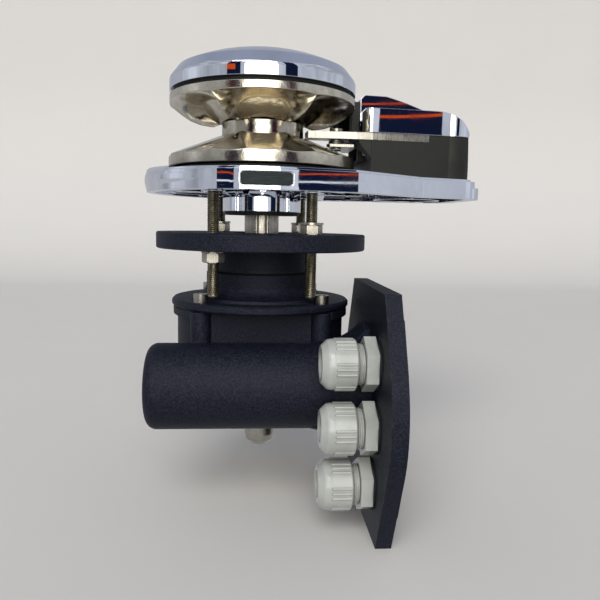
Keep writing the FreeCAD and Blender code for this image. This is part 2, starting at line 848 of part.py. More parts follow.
def cover_screws():
    screws = [socket_screw(x, y, d.cover_top) for x, y in cover_screw_places()]
    group("gearbox_cover_screws", screws)


# --- gearbox ------------------------------------------------------------------------------------


def along_worm(radius, left, right):
    """Cylinder about the worm axis between two X positions."""
    return rod(radius, size(right) - size(left), left, d.worm_y, d.worm_z, ALONG_X)


def worm_tunnel():
    """Outside of the worm housing, rounded at its closed end."""
    barrel = along_worm(d.tunnel_radius, d.tunnel_left, d.plate_left)
    return rounded(barrel, d.tunnel_fillet.value, circle_at(d.tunnel_radius, x=d.tunnel_left))


def bell():
    """Bell in front of the motor flange, cut flat beside the cable glands."""
    length = d.plate_left - d.bell_left
    flare = turned(
        [
            (0, 0),
            (d.tunnel_radius - 1, 0),
            (d.tunnel_radius + 3, length - 24, 30),
            (d.bell_radius, length - 3),
            (d.bell_radius, length),
            (0, length),
        ],
        d.bell_left,
        d.worm_y,
        d.worm_z,
        ALONG_X,
    )
    flat = block((20, -120, -200), (80, d.worm_y - 16, -60))
    return cut(flare, flat)


def gearbox_housing():
    top = d.cover_bottom - 0.6
    drum = rod(d.body_radius, top - d.body_bottom, z=d.body_bottom)
    front = block((-100, -100, -200), (100, d.body_flat, -60))
    rim = rod(d.cover_radius - 1, 5, z=top - 5)
    boss = taper(d.boss_radius, d.boss_radius + 3, d.body_bottom - d.boss_bottom, z=d.boss_bottom)
    mass = fuse(cut(fuse(drum, rim), front), worm_tunnel(), bell(), boss, *screw_towers(top))
    chamber = rod(d.body_bore, 80, z=d.chamber_bottom)
    chamber_front = block((-60, -60, -170), (60, d.body_flat + 5, -60))
    tunnel = along_worm(d.tunnel_bore, d.tunnel_left + 8, d.plate_left + 1)
    bearing_seat = rod(20, 13, z=d.chamber_bottom - 12)
    exit_bore = rod(d.shaft_radius + 0.5, 40, z=d.boss_bottom - 10)
    holes = [rod(3.0, 18, x, y, top - 16) for x, y in cover_screw_places()]
    holes += [rod(2.5, 12, d.plate_right - 19, y, z, ALONG_X) for y, z in flange_screw_places()]
    room = [cut(chamber, chamber_front), tunnel, bearing_seat, exit_bore]
    return piece("gearbox_housing", cut(mass, *room, *holes))


def screw_towers(top):
    """Bosses for the cover screws, up the outside of the body."""
    return [rod(7, 26, x, y, top - 26) for x, y in cover_screw_places()]


def gearbox_gasket():
    rim = tube(d.cover_radius - 1.5, d.body_bore + 3, 0.6, z=d.cover_bottom - 0.6)
    front = block((-100, -100, -90), (100, d.body_flat, -70))
    holes = [rod(3.3, 4, x, y, d.cover_bottom - 2) for x, y in cover_screw_places()]
    return piece("gearbox_gasket", cut(rim, front, *holes))


# --- worm drive ---------------------------------------------------------------------------------


def wheel_gap(azimuth):
    """Space between two teeth of the wheel, leaning by the worm's lead angle."""
    gap = doc.addObject("Part::Wedge", "Gap")
    floor = d.worm_module * 0.43
    mouth = d.worm_module * 1.32
    length = d.wheel_width * 0.5 + 2
    bind(gap, Xmin=-floor, Xmax=floor, X2min=-mouth, X2max=mouth)
    bind(gap, Zmin=-length, Zmax=length, Z2min=-length, Z2max=length)
    bind(gap, Ymin=d.worm_module * 18.8, Ymax=d.worm_module * 21.25)
    heading = FreeCAD.Rotation(FreeCAD.Vector(0, 0, 1), azimuth - 90)
    lead = FreeCAD.Rotation(FreeCAD.Vector(0, 1, 0), -WORM_LEAD_ANGLE)
    return put(gap, 0, 0, d.worm_z, heading * lead)


def worm_wheel():
    """Bronze wheel on the shaft, with a gap between its teeth facing the worm."""
    half = d.wheel_width * 0.5
    bore = d.shaft_radius
    tip = d.worm_module * 21
    blank = turned(
        [
            (bore, d.worm_z - half),
            (22, d.worm_z - half),
            (22, d.worm_z - half + 3),
            (32, d.worm_z - half + 3),
            (34, d.worm_z - half),
            (tip, d.worm_z - half),
            (tip, d.worm_z + half),
            (34, d.worm_z + half),
            (32, d.worm_z + half - 3),
            (22, d.worm_z + half - 3),
            (22, d.worm_z + half),
            (bore, d.worm_z + half),
        ]
    )
    gaps = [wheel_gap(-90 + tooth * 360 / WHEEL_TEETH) for tooth in range(WHEEL_TEETH)]
    key_seat_in_wheel = block((9, -3, d.worm_z - 20), (15.1, 3, d.worm_z + 20))
    return piece("worm_wheel", cut(blank, key_seat_in_wheel, *gaps))


def worm_shaft():
    """Worm and motor shaft in one, with a single right-handed thread."""
    radius = d.worm_shaft_radius
    root = d.worm_pitch_radius - d.worm_module * 1.2
    half = d.worm_half_length
    body = turned(
        [
            (0, -64),
            (radius, -64),
            (radius, -half - 10),
            (root, -half - 6),
            (root, half + 4),
            (radius, half + 8),
            (radius, 43),
            (6, 43),
            (6, 77),
            (0, 77),
        ],
        0,
        d.worm_y,
        d.worm_z,
        ALONG_X,
    )
    sketch = new_sketch(body, "YZ_Plane")
    pitch = d.worm_module * math.pi
    start = -(pitch * 3)
    tip = d.worm_pitch_radius + d.worm_module
    foot_half, tip_half = d.worm_module * 1.2, d.worm_module * 0.385
    low = root - 0.2
    foot = [(low, start + foot_half), (low, start - foot_half)]
    draw(sketch, foot + [(tip, start - tip_half), (tip, start + tip_half)])
    thread = body.newObject("PartDesign::AdditiveHelix", "Thread")
    thread.Profile = sketch
    thread.ReferenceAxis = (sketch, ["V_Axis"])
    thread.Mode = 0
    bind(thread, Pitch=pitch, Height=pitch * 6)
    return piece("worm_shaft", body)


def worm_bearings():
    bore = d.worm_shaft_radius + d.running_gap

    def bearing(left, right):
        return cut(along_worm(d.tunnel_bore, left, right), along_worm(bore, left - 1, right + 1))

    piece("worm_bearing_left", bearing(-64, -52))
    piece("worm_bearing_right", bearing(33, 41))


def motor():
    core = cut(along_worm(17, 44, 64), along_worm(6, 43, 65))
    slots = [armature_slot(azimuth) for azimuth in range(0, 360, 36)]
    piece("motor_armature", cut(core, *slots))
    bars = cut(along_worm(10, 66, 75), along_worm(6, 65, 76))
    piece("motor_commutator", bars)
    shell = cut(along_worm(d.tunnel_bore, 43, 67), along_worm(18, 42, 68))
    split = block((40, -100, d.worm_z - 5), (70, 0, d.worm_z + 5))
    piece("motor_magnets", cut(shell, split))
    brush_low = block((68, d.worm_y - 3, d.worm_z - 20), (73, d.worm_y + 3, d.worm_z - 10.3))
    brush_high = block((68, d.worm_y - 3, d.worm_z + 10.3), (73, d.worm_y + 3, d.worm_z + 20))
    group("motor_brushes", [brush_low, brush_high])
    ring = cut(along_worm(d.tunnel_bore - 0.1, 67.2, 79), along_worm(13, 60, 90))
    brush_room = block((60, d.worm_y - 8, -160), (74, d.worm_y + 8, -100))
    piece("brush_holder", cut(ring, brush_room))


def armature_slot(azimuth):
    turn = math.radians(azimuth)
    y = d.worm_y + 17 * math.cos(turn)
    z = d.worm_z + 17 * math.sin(turn)
    return rod(1.8, 30, 40, y, z, ALONG_X)


# --- motor flange, terminal cover and glands ----------------------------------------------------


def flange_outline(inset=0):
    """Barrel-shaped outline, the same on both sides of the worm axis."""
    centre = Size(-55)
    inset = size(inset)
    top = Size(-59.5) - inset
    bottom = Size(-216.5) + inset
    corner = Size(53) - inset
    high = Size(76) - inset
    low = Size(77) - inset
    return [
        (centre - corner, top),
        (centre - high, -104, -71),
        (centre - low, -161.5),
        (centre - Size(52) + inset, bottom),
        (centre + Size(52) - inset, bottom),
        (centre + low, -161.5, -71),
        (centre + high, -104),
        (centre + corner, top),
    ]


def motor_flange():
    slab = plate(flange_outline(), d.plate_left, d.plate_right, "YZ_Plane")
    bore = along_worm(d.tunnel_bore, 60, 90)
    entries = [rod(12.6, 20, 65, y, z, ALONG_X) for y, z in GLANDS]
    holes = [rod(2.7, 30, 60, y, z, ALONG_X) for y, z in flange_screw_places()]
    cover_holes = [rod(2.1, 8, d.plate_right - 7, y, z, ALONG_X) for y, z in TERMINAL_COVER_SCREWS]
    return piece("motor_flange", cut(slab, bore, *entries, *holes, *cover_holes))


def flange_screw_places():
    """Screws between the flange and the bell, on the side away from the glands."""
    places = []
    for azimuth in (-60, 0, 60):
        turn = math.radians(azimuth)
        places.append((d.worm_y + 32 * math.cos(turn), d.worm_z + 32 * math.sin(turn)))
    return places


def flange_screws():
    screws = []
    for y, z in flange_screw_places():
        socket = hexagon(4.5, 5, d.plate_right + 1.5, y, z, ALONG_X)
        head = cut(rod(4.2, 4, d.plate_right, y, z, ALONG_X), socket)
        screws.append(fuse(head, rod(2.5, 18, d.plate_right - 18, y, z, ALONG_X)))
    group("flange_screws", screws)


def pan_outline(inset):
    """Outline of the raised part of the terminal cover."""
    return [
        (-98 + inset, -78 - inset),
        (-113 + inset, -108 - inset * 0.4),
        (-115 + inset, -164 + inset * 0.4),
        (-101 + inset, -197 + inset),
        (-12 - inset, -197 + inset),
        (4 - inset, -164 + inset * 0.4),
        (4 - inset, -108 - inset * 0.4),
        (-12 - inset, -78 - inset),
    ]


def pan(start, start_inset, end, end_inset):
    """Shallow box with sloping sides between two X positions."""
    body = doc.addObject("PartDesign::Body", "Pan")
    foot = new_sketch(body, "YZ_Plane", start)
    draw(foot, pan_outline(start_inset))
    roof = new_sketch(body, "YZ_Plane", end)
    draw(roof, pan_outline(end_inset))
    loft = body.newObject("PartDesign::AdditiveLoft", "Loft")
    loft.Profile = foot
    loft.Sections = [roof]
    loft.Ruled = True
    return body


def terminal_cover():
    rim = plate(flange_outline(8), d.plate_right, d.plate_right + 2, "YZ_Plane")
    wall = plate(pan_outline(-2), d.plate_right, d.plate_right + 4.4, "YZ_Plane")
    raised = pan(d.plate_right + 4.3, -2, d.plate_right + 10, 18)
    floor = plate(pan_outline(0), d.plate_right - 1, d.plate_right + 4.4, "YZ_Plane")
    room = pan(d.plate_right + 4.3, 0, d.plate_right + 8, 16)
    holes = [rod(2.3, 14, d.plate_right - 1, y, z, ALONG_X) for y, z in TERMINAL_COVER_SCREWS]
    return piece("terminal_cover", cut(fuse(rim, wall, raised), floor, room, *holes))


def terminal_cover_screws():
    screws = []
    for y, z in TERMINAL_COVER_SCREWS:
        left = d.plate_right + 2
        head = cut(rod(3.4, 2.2, left, y, z, ALONG_X), hexagon(2.5, 3, left + 1, y, z, ALONG_X))
        screws.append(fuse(head, rod(2, 8, left - 8, y, z, ALONG_X)))
    group("terminal_cover_screws", screws)


def terminals():
    left = d.plate_right
    base = block((left, -64, -190), (left + 4, -22, -172))
    piece("terminal_block", base)
    studs = [rod(3, 3.5, left + 4, y, -178, ALONG_X) for y in TERMINAL_STUDS]
    group("terminal_studs", studs)


def gland_body(y, z):
    hexed = hexagon(d.gland_body_flats, 7.4, 61.2, y, z, ALONG_X)
    neck = rod(d.gland_thread, 30, 52, y, z, ALONG_X)
    return cut(fuse(hexed, neck), rod(d.gland_bore + 2.6, 40, 50, y, z, ALONG_X))


def gland_nut(y, z):
    """Clamp nut with a domed mouth and groups of grip ribs."""
    radius = d.gland_nut_radius
    shell = turned(
        [
            (d.gland_bore, 0),
            (11.5, 0),
            (radius - 1.2, 3.6, -9),
            (radius - 0.6, 8),
            (radius - 0.6, 20.6),
            (radius - 1.4, 21.4),
            (d.gland_thread + 0.3, 21.4),
            (d.gland_thread + 0.3, 6),
            (d.gland_bore, 3),
        ],
        35.2,
        y,
        z,
        ALONG_X,
    )
    ribs = []
    for azimuth in range(0, 360, 12):
        if azimuth % 60 not in (24, 36):
            ribs.append(gland_rib(y, z, azimuth))
    return fuse(shell, *ribs)


def gland_rib(y, z, azimuth):
    turn = math.radians(azimuth)
    reach = d.gland_nut_radius - 0.9
    return rod(0.9, 12, 43.6, reach * math.cos(turn) + y, reach * math.sin(turn) + z, ALONG_X)


def gland_seal(y, z):
    ring = rod(d.gland_thread - 0.9, 8.5, 42.5, y, z, ALONG_X)
    return cut(ring, rod(d.gland_bore, 12, 40, y, z, ALONG_X))


def gland_washer(y, z):
    return cut(rod(16, 1.4, 68.6, y, z, ALONG_X), rod(d.gland_thread, 4, 67, y, z, ALONG_X))


def gland_lock_nut(y, z):
    flats_level = FreeCAD.Rotation(FreeCAD.Vector(1, 0, 0), 30) * ALONG_X
    return cut(hexagon(27, 4, d.plate_right, y, z, flats_level), rod(d.gland_thread, 8, 78, y, z, ALONG_X))


def glands():
    group("gland_bodies", [gland_body(y, z) for y, z in GLANDS])
    group("gland_nuts", [gland_nut(y, z) for y, z in GLANDS])
    group("gland_seals", [gland_seal(y, z) for y, z in GLANDS])
    group("gland_washers", [gland_washer(y, z) for y, z in GLANDS])
    group("gland_lock_nuts", [gland_lock_nut(y, z) for y, z in GLANDS])


# --- chain pipe, stripper and chain finger ------------------------------------------------------


def pipe_plan(inset, low, high):
    """Prism with the plan of the chain pipe's housing, rounded at its four corners."""
    inset = size(inset)
    left = Size(72.9) + inset
    front = inset - 10.4
    back = d.riser_back + 1.4 - inset
    right = Size(158.2) - inset
    return plate(
        [
            (left, front + 5.5, -5.5),
            (left + 5.5, front, -700),
            (138, front + 7.6, -16),
            (right, 12),
            (right, 46, -16),
            (138, back - 7.6, -700),
            (left + 5.5, back, -5.5),
            (left, back - 5.5),
        ],
        low,
        high,
    )


def riser_section(inset=0):
    left = d.riser_left + inset
    return [
        (left, d.base_top + 0.1),
        (157.2 - inset, d.base_top + 0.1),
        (154.2 - inset, d.riser_top),
        (left, d.riser_top),
    ]


def chain_pipe_riser():
    wedge = front_plate(riser_section(), d.riser_front - 2, d.riser_back + 2)
    mass = common(wedge, pipe_plan(0.7, 10, 50))
    nose = front_plate(
        [(d.riser_left, 28.3), (d.riser_left + 1, d.riser_top), (69.2, d.riser_top), (69.2, 39)],
        d.riser_front,
        10,
    )
    notch = block((73, -20, d.stripper_low), (d.stripper_end + 1, 12, d.riser_top + 5))
    nose_notch = block((60, -20, d.stripper_low), (74, 11.8, d.riser_top + 5))
    pipe = rod(d.pipe_radius, 50, d.pipe_x, d.pipe_y, 5)
    chute = block((60, 17, 29), (110, 54, 68))
    holes = [rod(2.6, 40, x, y, 10) for x, y in RISER_SCREWS]
    holes += [rod(2.0, 16, x, 3, d.stripper_high - 15) for x in STRIPPER_SCREWS]
    solid = fuse(cut(fuse(mass, nose), notch, nose_notch), throat())
    return piece("chain_pipe_riser", cut(solid, pipe, chute, *holes))


def throat():
    """Black frame round the chain's way from the gypsy into the pipe, hollowed to clear the gypsy."""
    low = block((72, 12, 28.3), (d.riser_left + 1, 59, d.stripper_low))
    high = block((56, 12, d.stripper_low - 1), (72.6, 59, 71.5))
    join = block((72, 12, d.stripper_low - 1), (d.riser_left + 1, 59, d.riser_top - 0.2))
    return cut(fuse(low, high, join), rod(d.gypsy_low_radius + 1.2, 60, z=20))


def hood_section(inset=0):
    """Front outline of the cover, rounded at its right end."""
    inset = size(inset)
    left = Size(73.8)
    return [
        (left + inset, d.riser_top + 0.1),
        (Size(154.3) - inset, d.riser_top + 0.1),
        (Size(154.4) - inset, 49.5, -30),
        (Size(129), d.skirt_top + 0.2 - inset),
        (left + inset, d.skirt_top - inset),
    ]


def hump_section(inset=0):
    """Front outline of the raised part of the cover over the chain."""
    inset = size(inset)
    left = Size(73.0)
    return [
        (left + inset, d.skirt_top - 6),
        (137, d.skirt_top - 6),
        (Size(136) - inset, d.skirt_top - 0.5 - inset, -240),
        (Size(93) - inset, d.hump_top - inset),
        (left + 3 + inset, d.hump_top - inset),
        (left + inset, d.hump_top - 2.5 - inset),
    ]


def hump_plan(inset=0):
    """Plan of that raised part, whose front recedes to the right."""
    front = 11.0 + inset
    return plate([(60, front - 1), (145, front + 9.5), (145, 70), (60, 70)], 40, 90)


def chain_pipe_cover():
    wall = d.cover_wall
    hood = front_plate(hood_section(), d.riser_front - 2, d.riser_back + 2)
    skirt = common(hood, pipe_plan(0, 40, 90))
    hump = common(front_plate(hump_section(), 8, d.riser_back - 3), hump_plan())
    hood_room = front_plate(hood_section(wall.value), d.riser_front - 2, d.riser_back + 2)
    skirt_room = common(hood_room, pipe_plan(wall.value, 40, 90))
    hump_room = common(front_plate(hump_section(wall.value), 8, d.riser_back - 5.5), hump_plan(wall.value))
    under = block((60, -30, d.riser_top - 5), (160, 80, d.riser_top + 0.1))
    low = common(block((76.3, -20, d.riser_top - 1), (144, 80, 50)), pipe_plan(wall.value, 40, 90))
    mouth = block((60, 15, d.riser_top), (90, 58, 73))
    posts = [rod(4.5, 8.5, x, y, d.riser_top + 0.1) for x, y in RISER_SCREWS]
    shell = cut(fuse(skirt, hump), skirt_room, hump_room, under, low)
    holes = [rod(2.0, 8, x, y, d.riser_top - 1) for x, y in RISER_SCREWS]
    return piece("chain_pipe_cover", cut(fuse(cut(shell, mouth), *posts), *holes))


def riser_screws():
    screws = []
    for x, y in RISER_SCREWS:
        head = hexagon(8, 4, x, y, d.base_ceiling - 4)
        screws.append(fuse(head, rod(2.0, 44, x, y, d.base_ceiling - 1)))
    group("riser_screws", screws)


def stripper():
    outline = [
        (32.2, d.riser_front + 0.4),
        (67.5, d.riser_front - 0.8),
        (79, d.riser_front - 0.6, -700),
        (d.stripper_end + 0.7, d.riser_front + 4.1),
        (d.stripper_end + 0.7, 4),
        (94, 11.5),
        (66, 11.5),
        (52, 5),
        (31.0, 3.5),
    ]
    flat = plate(outline, d.stripper_low + 0.05, d.stripper_high)
    waist = rod(d.waist_radius + 1.0, 20, z=d.stripper_low - 5)
    shoulder = taper(35, d.waist_radius + 1.0, d.waist_bottom - 40.4, z=40.4)
    pipe = rod(d.pipe_radius, 20, d.pipe_x, d.pipe_y, d.stripper_low - 5)
    pivot = rod(FINGER_PIN_RADIUS, 20, *FINGER_PIVOT, d.stripper_low - 5)
    holes = [rod(2.1, 20, x, 3, d.stripper_low - 5) for x in STRIPPER_SCREWS]
    holes += [taper(2.1, 3.9, 1.8, x, 3, d.stripper_high - 1.7) for x in STRIPPER_SCREWS]
    holes.append(rod(2.6, 20, *RISER_SCREWS[0], d.stripper_low - 5))
    return piece("stripper", cut(flat, waist, shoulder, pipe, pivot, *holes))


def stripper_screws():
    screws = []
    for x in STRIPPER_SCREWS:
        shank = rod(2.0, 14, x, 3, d.stripper_high - 15)
        head = taper(2.0, 3.6, 1.6, x, 3, d.stripper_high - 1.6)
        screws.append(cut(fuse(shank, head), hexagon(2.4, 2, x, 3, d.stripper_high - 1)))
    group("stripper_screws", screws)


def finger_pin():
    x, y = FINGER_PIVOT
    head = rod(5, 2.6, x, y, d.stripper_high)
    shank = rod(FINGER_PIN_RADIUS, 11.7, x, y, d.stripper_high - 11.6)
    clip = rod(3.6, 0.8, x, y, d.stripper_high - 11.6)
    return piece("finger_pin", cut(fuse(head, shank, clip), hexagon(4, 3, x, y, d.stripper_high + 1.3)))


def chain_finger():
    """Sprung finger under the stripper that holds the chain in the gypsy."""
    x, y = FINGER_PIVOT
    blade = plate(
        [(46, -6), (48, -8.6), (65.5, -8.6), (68, -6), (67, 27, -3.4), (61, 27), (58, 6), (50, 4)],
        35.6,
        37.6,
    )
    boss = rod(4.4, 5.4, x, y, 35.6)
    return piece("chain_finger", cut(fuse(blade, boss), rod(FINGER_PIN_RADIUS + 0.06, 20, x, y, 30)))


def finger_spring():
    """Torsion spring round the finger's boss."""
    x, y = (size(v) for v in FINGER_PIVOT)
    coil = doc.addObject("Part::Helix", "Coil")
    put(bind(coil, Radius=5.25, Pitch=0.98, Height=2.45), x, y, 38.2)
    wire = doc.addObject("Part::Circle", "Wire")
    turn = FreeCAD.Rotation(FreeCAD.Vector(1, 0, 0), 90)
    put(bind(wire, Radius=0.42), x + 5.25, y, 38.2, turn)
    spring = doc.addObject("Part::Sweep", "Spring")
    spring.Sections = [wire]
    spring.Spine = coil
    spring.Solid = True
    spring.Frenet = True
    return piece("finger_spring", spring)


for build in (
    clutch_cap,
    cap_seal,
    clutch_cones,
    gypsy,
    main_shaft,
    shaft_keys,
    shaft_end_nut,
    bearings,
    base_plate,
    label_plate,
    deck_studs,
    stud_fasteners,
    deck_flange,
    gearbox_cover,
    cover_screws,
    gearbox_gasket,
    gearbox_housing,
    worm_wheel,
    worm_shaft,
    worm_bearings,
    motor,
    motor_flange,
    flange_screws,
    terminal_cover,
    terminal_cover_screws,
    terminals,
    glands,
    chain_pipe_riser,
    chain_pipe_cover,
    riser_screws,
    stripper,
    stripper_screws,
    finger_pin,
    chain_finger,
    finger_spring,
):
    build()

doc.recompute()
os.makedirs("parts", exist_ok=True)
for shape in doc.Objects:
    if "Invalid" in shape.State or "Error" in shape.State:
        raise RuntimeError(f"{shape.Label} did not build")
for shape in pieces:
    solid = shape.Shape
    if solid.isNull() or not solid.isValid():
        raise RuntimeError(f"{shape.Label} is not a valid solid")
    solid.exportStep(os.path.join("parts", f"{shape.Label}.step"))
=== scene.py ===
import json
import math

import bmesh
import bpy
from mathutils import Matrix, Vector


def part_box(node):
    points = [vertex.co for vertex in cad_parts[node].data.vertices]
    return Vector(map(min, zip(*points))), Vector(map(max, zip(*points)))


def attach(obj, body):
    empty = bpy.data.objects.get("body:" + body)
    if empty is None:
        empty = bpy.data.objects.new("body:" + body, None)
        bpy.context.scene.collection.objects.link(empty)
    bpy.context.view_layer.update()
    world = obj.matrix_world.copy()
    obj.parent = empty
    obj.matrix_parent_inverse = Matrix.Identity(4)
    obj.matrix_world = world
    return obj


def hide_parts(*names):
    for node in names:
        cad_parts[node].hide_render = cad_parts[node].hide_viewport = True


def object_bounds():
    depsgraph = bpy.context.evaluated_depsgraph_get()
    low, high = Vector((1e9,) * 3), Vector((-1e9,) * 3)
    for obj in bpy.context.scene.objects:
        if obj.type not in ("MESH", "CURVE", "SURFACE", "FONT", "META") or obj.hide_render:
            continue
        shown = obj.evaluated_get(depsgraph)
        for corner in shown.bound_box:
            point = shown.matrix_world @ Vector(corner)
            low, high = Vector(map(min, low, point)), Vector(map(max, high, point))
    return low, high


MM = 0.001

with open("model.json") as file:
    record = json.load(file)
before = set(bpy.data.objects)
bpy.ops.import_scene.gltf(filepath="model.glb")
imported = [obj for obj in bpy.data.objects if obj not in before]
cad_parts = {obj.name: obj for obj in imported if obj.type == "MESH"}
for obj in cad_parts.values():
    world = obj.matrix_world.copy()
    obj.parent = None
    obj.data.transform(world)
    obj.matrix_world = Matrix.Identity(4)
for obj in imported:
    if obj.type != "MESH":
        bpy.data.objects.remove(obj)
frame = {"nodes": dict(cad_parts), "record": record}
cad_low, cad_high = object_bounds()

# Camera that matches the photograph: a 36 mm lens, 0.45 m in front of the main shaft
LENS_MM = 36.07
SENSOR_MM = 36.0
CAMERA_AT = Vector((-6.683, -448.153, -20.238)) * MM
CAMERA_YAW = -4.62
CAMERA_PITCH = -7.18
CAMERA_ROLL = 1.16
CAMERA_REACH = (0.01, 50)

# Cards that only mirrors show, on a cylinder round the main shaft. Spans are in degrees:
# azimuths from straight in front toward the right, elevations up from the deck's level.
CARD_DISTANCE = 1.75
CARD_COLUMNS = 8
WINDOW = (-22, 16)
WINDOW_HEIGHT = (-3, 50)
LEFT_FLAG = (-43, -27)
RIGHT_FLAG = (24.5, 39)
FLAG_HEIGHT = (-12, 48)
ROOM = ((-110, -43), (-27, -22), (16, 24.5), (39, 110))
ROOM_HEIGHT = (-4, 55)

# Strips just in front of the flags, each with the surface it is aimed at
STRIP_DISTANCE = 1.72
ORANGE_STRIPS = [
    (LEFT_FLAG, (4.70, 4.86)),  # rim of the base plate
    (RIGHT_FLAG, (4.70, 4.86)),  # rim of the base plate
    ((-43, -33), (15.4, 16.2)),  # cap
    (RIGHT_FLAG, (11.30, 11.60)),  # front of the chain pipe cover
    (RIGHT_FLAG, (12.95, 13.12)),  # raised part of the cover
    (RIGHT_FLAG, (16.2, 16.4)),  # cap
]
WHITE_STRIPS = [
    (LEFT_FLAG, (3.80, 4.00)),  # rim of the base plate
    ((24.5, 37), (3.80, 4.00)),  # rim of the base plate
]

# World colour at the horizon and high up, and the soft sun
SKY_LOW = (0.98, 0.98, 1.0)
SKY_HIGH = (0.60, 0.66, 0.84)
SKY_HIGH_FROM = 0.7
SKY_STRENGTH = 0.50
SUN_TOWARD = (0.15, 0.85, -0.50)
SUN_STRENGTH = 2.3
SUN_WIDTH = 50

# Backdrop in metres: floor from behind the camera to the bend, then a wall
FLOOR_NEAR = -3.0
FLOOR_FAR = 1.4
BEND_RADIUS = 0.8
BEND_STEPS = 16
WALL_HEIGHT = 3.5
HALF_WIDTH = 4.0

# Gypsy in millimetres. A ridge or a width is a line of (distance from the axis, value) points,
# and POCKET_SPREAD is half a pocket's width for each millimetre of that distance.
POCKET_PITCH = 60
POCKET_SPREAD = math.tan(math.radians(POCKET_PITCH / 2))
GYPSY_COLUMNS = 720
GYPSY_RADIUS = 66.0
GYPSY_LOW_RADIUS = 66.8
GYPSY_FOOT = 17.9
GYPSY_TOP = 67.5
RIM_CHAMFER = 0.5
TOP_CHAMFER = 0.4
CORNER_STEP = 0.3
WAIST_GAP = 0.1
BORE_RADIUS = 19.2
CONE_MOUTH_RADIUS = 41.2
CONE_END_RADIUS = 31.2
LOWER_CONE_END = 27.6
UPPER_CONE_END = 57.8
WAIST_RADIUS = 29.3
WAIST_TOP = 50.2
WAIST_BOTTOM = 42.5
NECK_RADIUS = 26.4
UPPER_RIDGE = [
    (26.4, 50.2),
    (29.3, 50.0),
    (35.7, 47.6),
    (44.0, 48.7),
    (52.1, 51.5),
    (58.0, 55.3),
    (62.6, 58.9),
    (66.0, 61.2),
]
LOWER_RIDGE = [(29.3, 42.2), (35.0, 39.9), (53.1, 32.3), (66.8, 26.4)]
POCKET_ROOF = 62.4
POCKET_END = 27.8
POCKET_END_SLOPE = math.tan(math.radians(37.6))
POCKET_CORNER = 0.5
ARCH_FULLNESS = 2.4
ARCH_STEEPNESS = 0.6
LOWER_FLAT_START = 38.3
LOWER_FLAT_SLOPE = math.tan(math.radians(21.5))
LOWER_FLAT_WIDTH = [(33.0, 16.5), (66.8, 10.5)]
LOWER_SCOOP_DEPTH = 2.0
LOWER_SCOOP_FULLNESS = 0.8
NARROWEST_SCOOP = 0.5
UPPER_STEPS = 44
LOWER_STEPS = 36
GYPSY_SHARP_FROM = 24

# Threads: M8 coarse on the deck studs, M25 x 1.5 on the cable glands
THREAD_SIDES = 36
RINGS_PER_TURN = 6
STUD_RADIUS = 4.0 * MM
STUD_PITCH = 1.25 * MM
STUD_THREAD_DEPTH = 0.55 * MM
GLAND_PITCH = 1.5 * MM
GLAND_THREAD_DEPTH = 0.7 * MM
GLAND_THREAD_RADIUS = 12.9 * MM
GLAND_THREAD_GAP = 0.1 * MM
GLAND_HEXAGON_LENGTH = 7.4 * MM
GLAND_PLACES = [(-93.0, -104.3), (-95.7, -143.9), (-88.0, -182.7)]

# Samples of the bevel and occlusion nodes
BEVEL_SAMPLES = 6
HOLLOW_SAMPLES = 8


def add_object(name, data):
    thing = bpy.data.objects.new(name, data)
    bpy.context.scene.collection.objects.link(thing)
    return thing


# --- node helpers ---------------------------------------------------------------------------


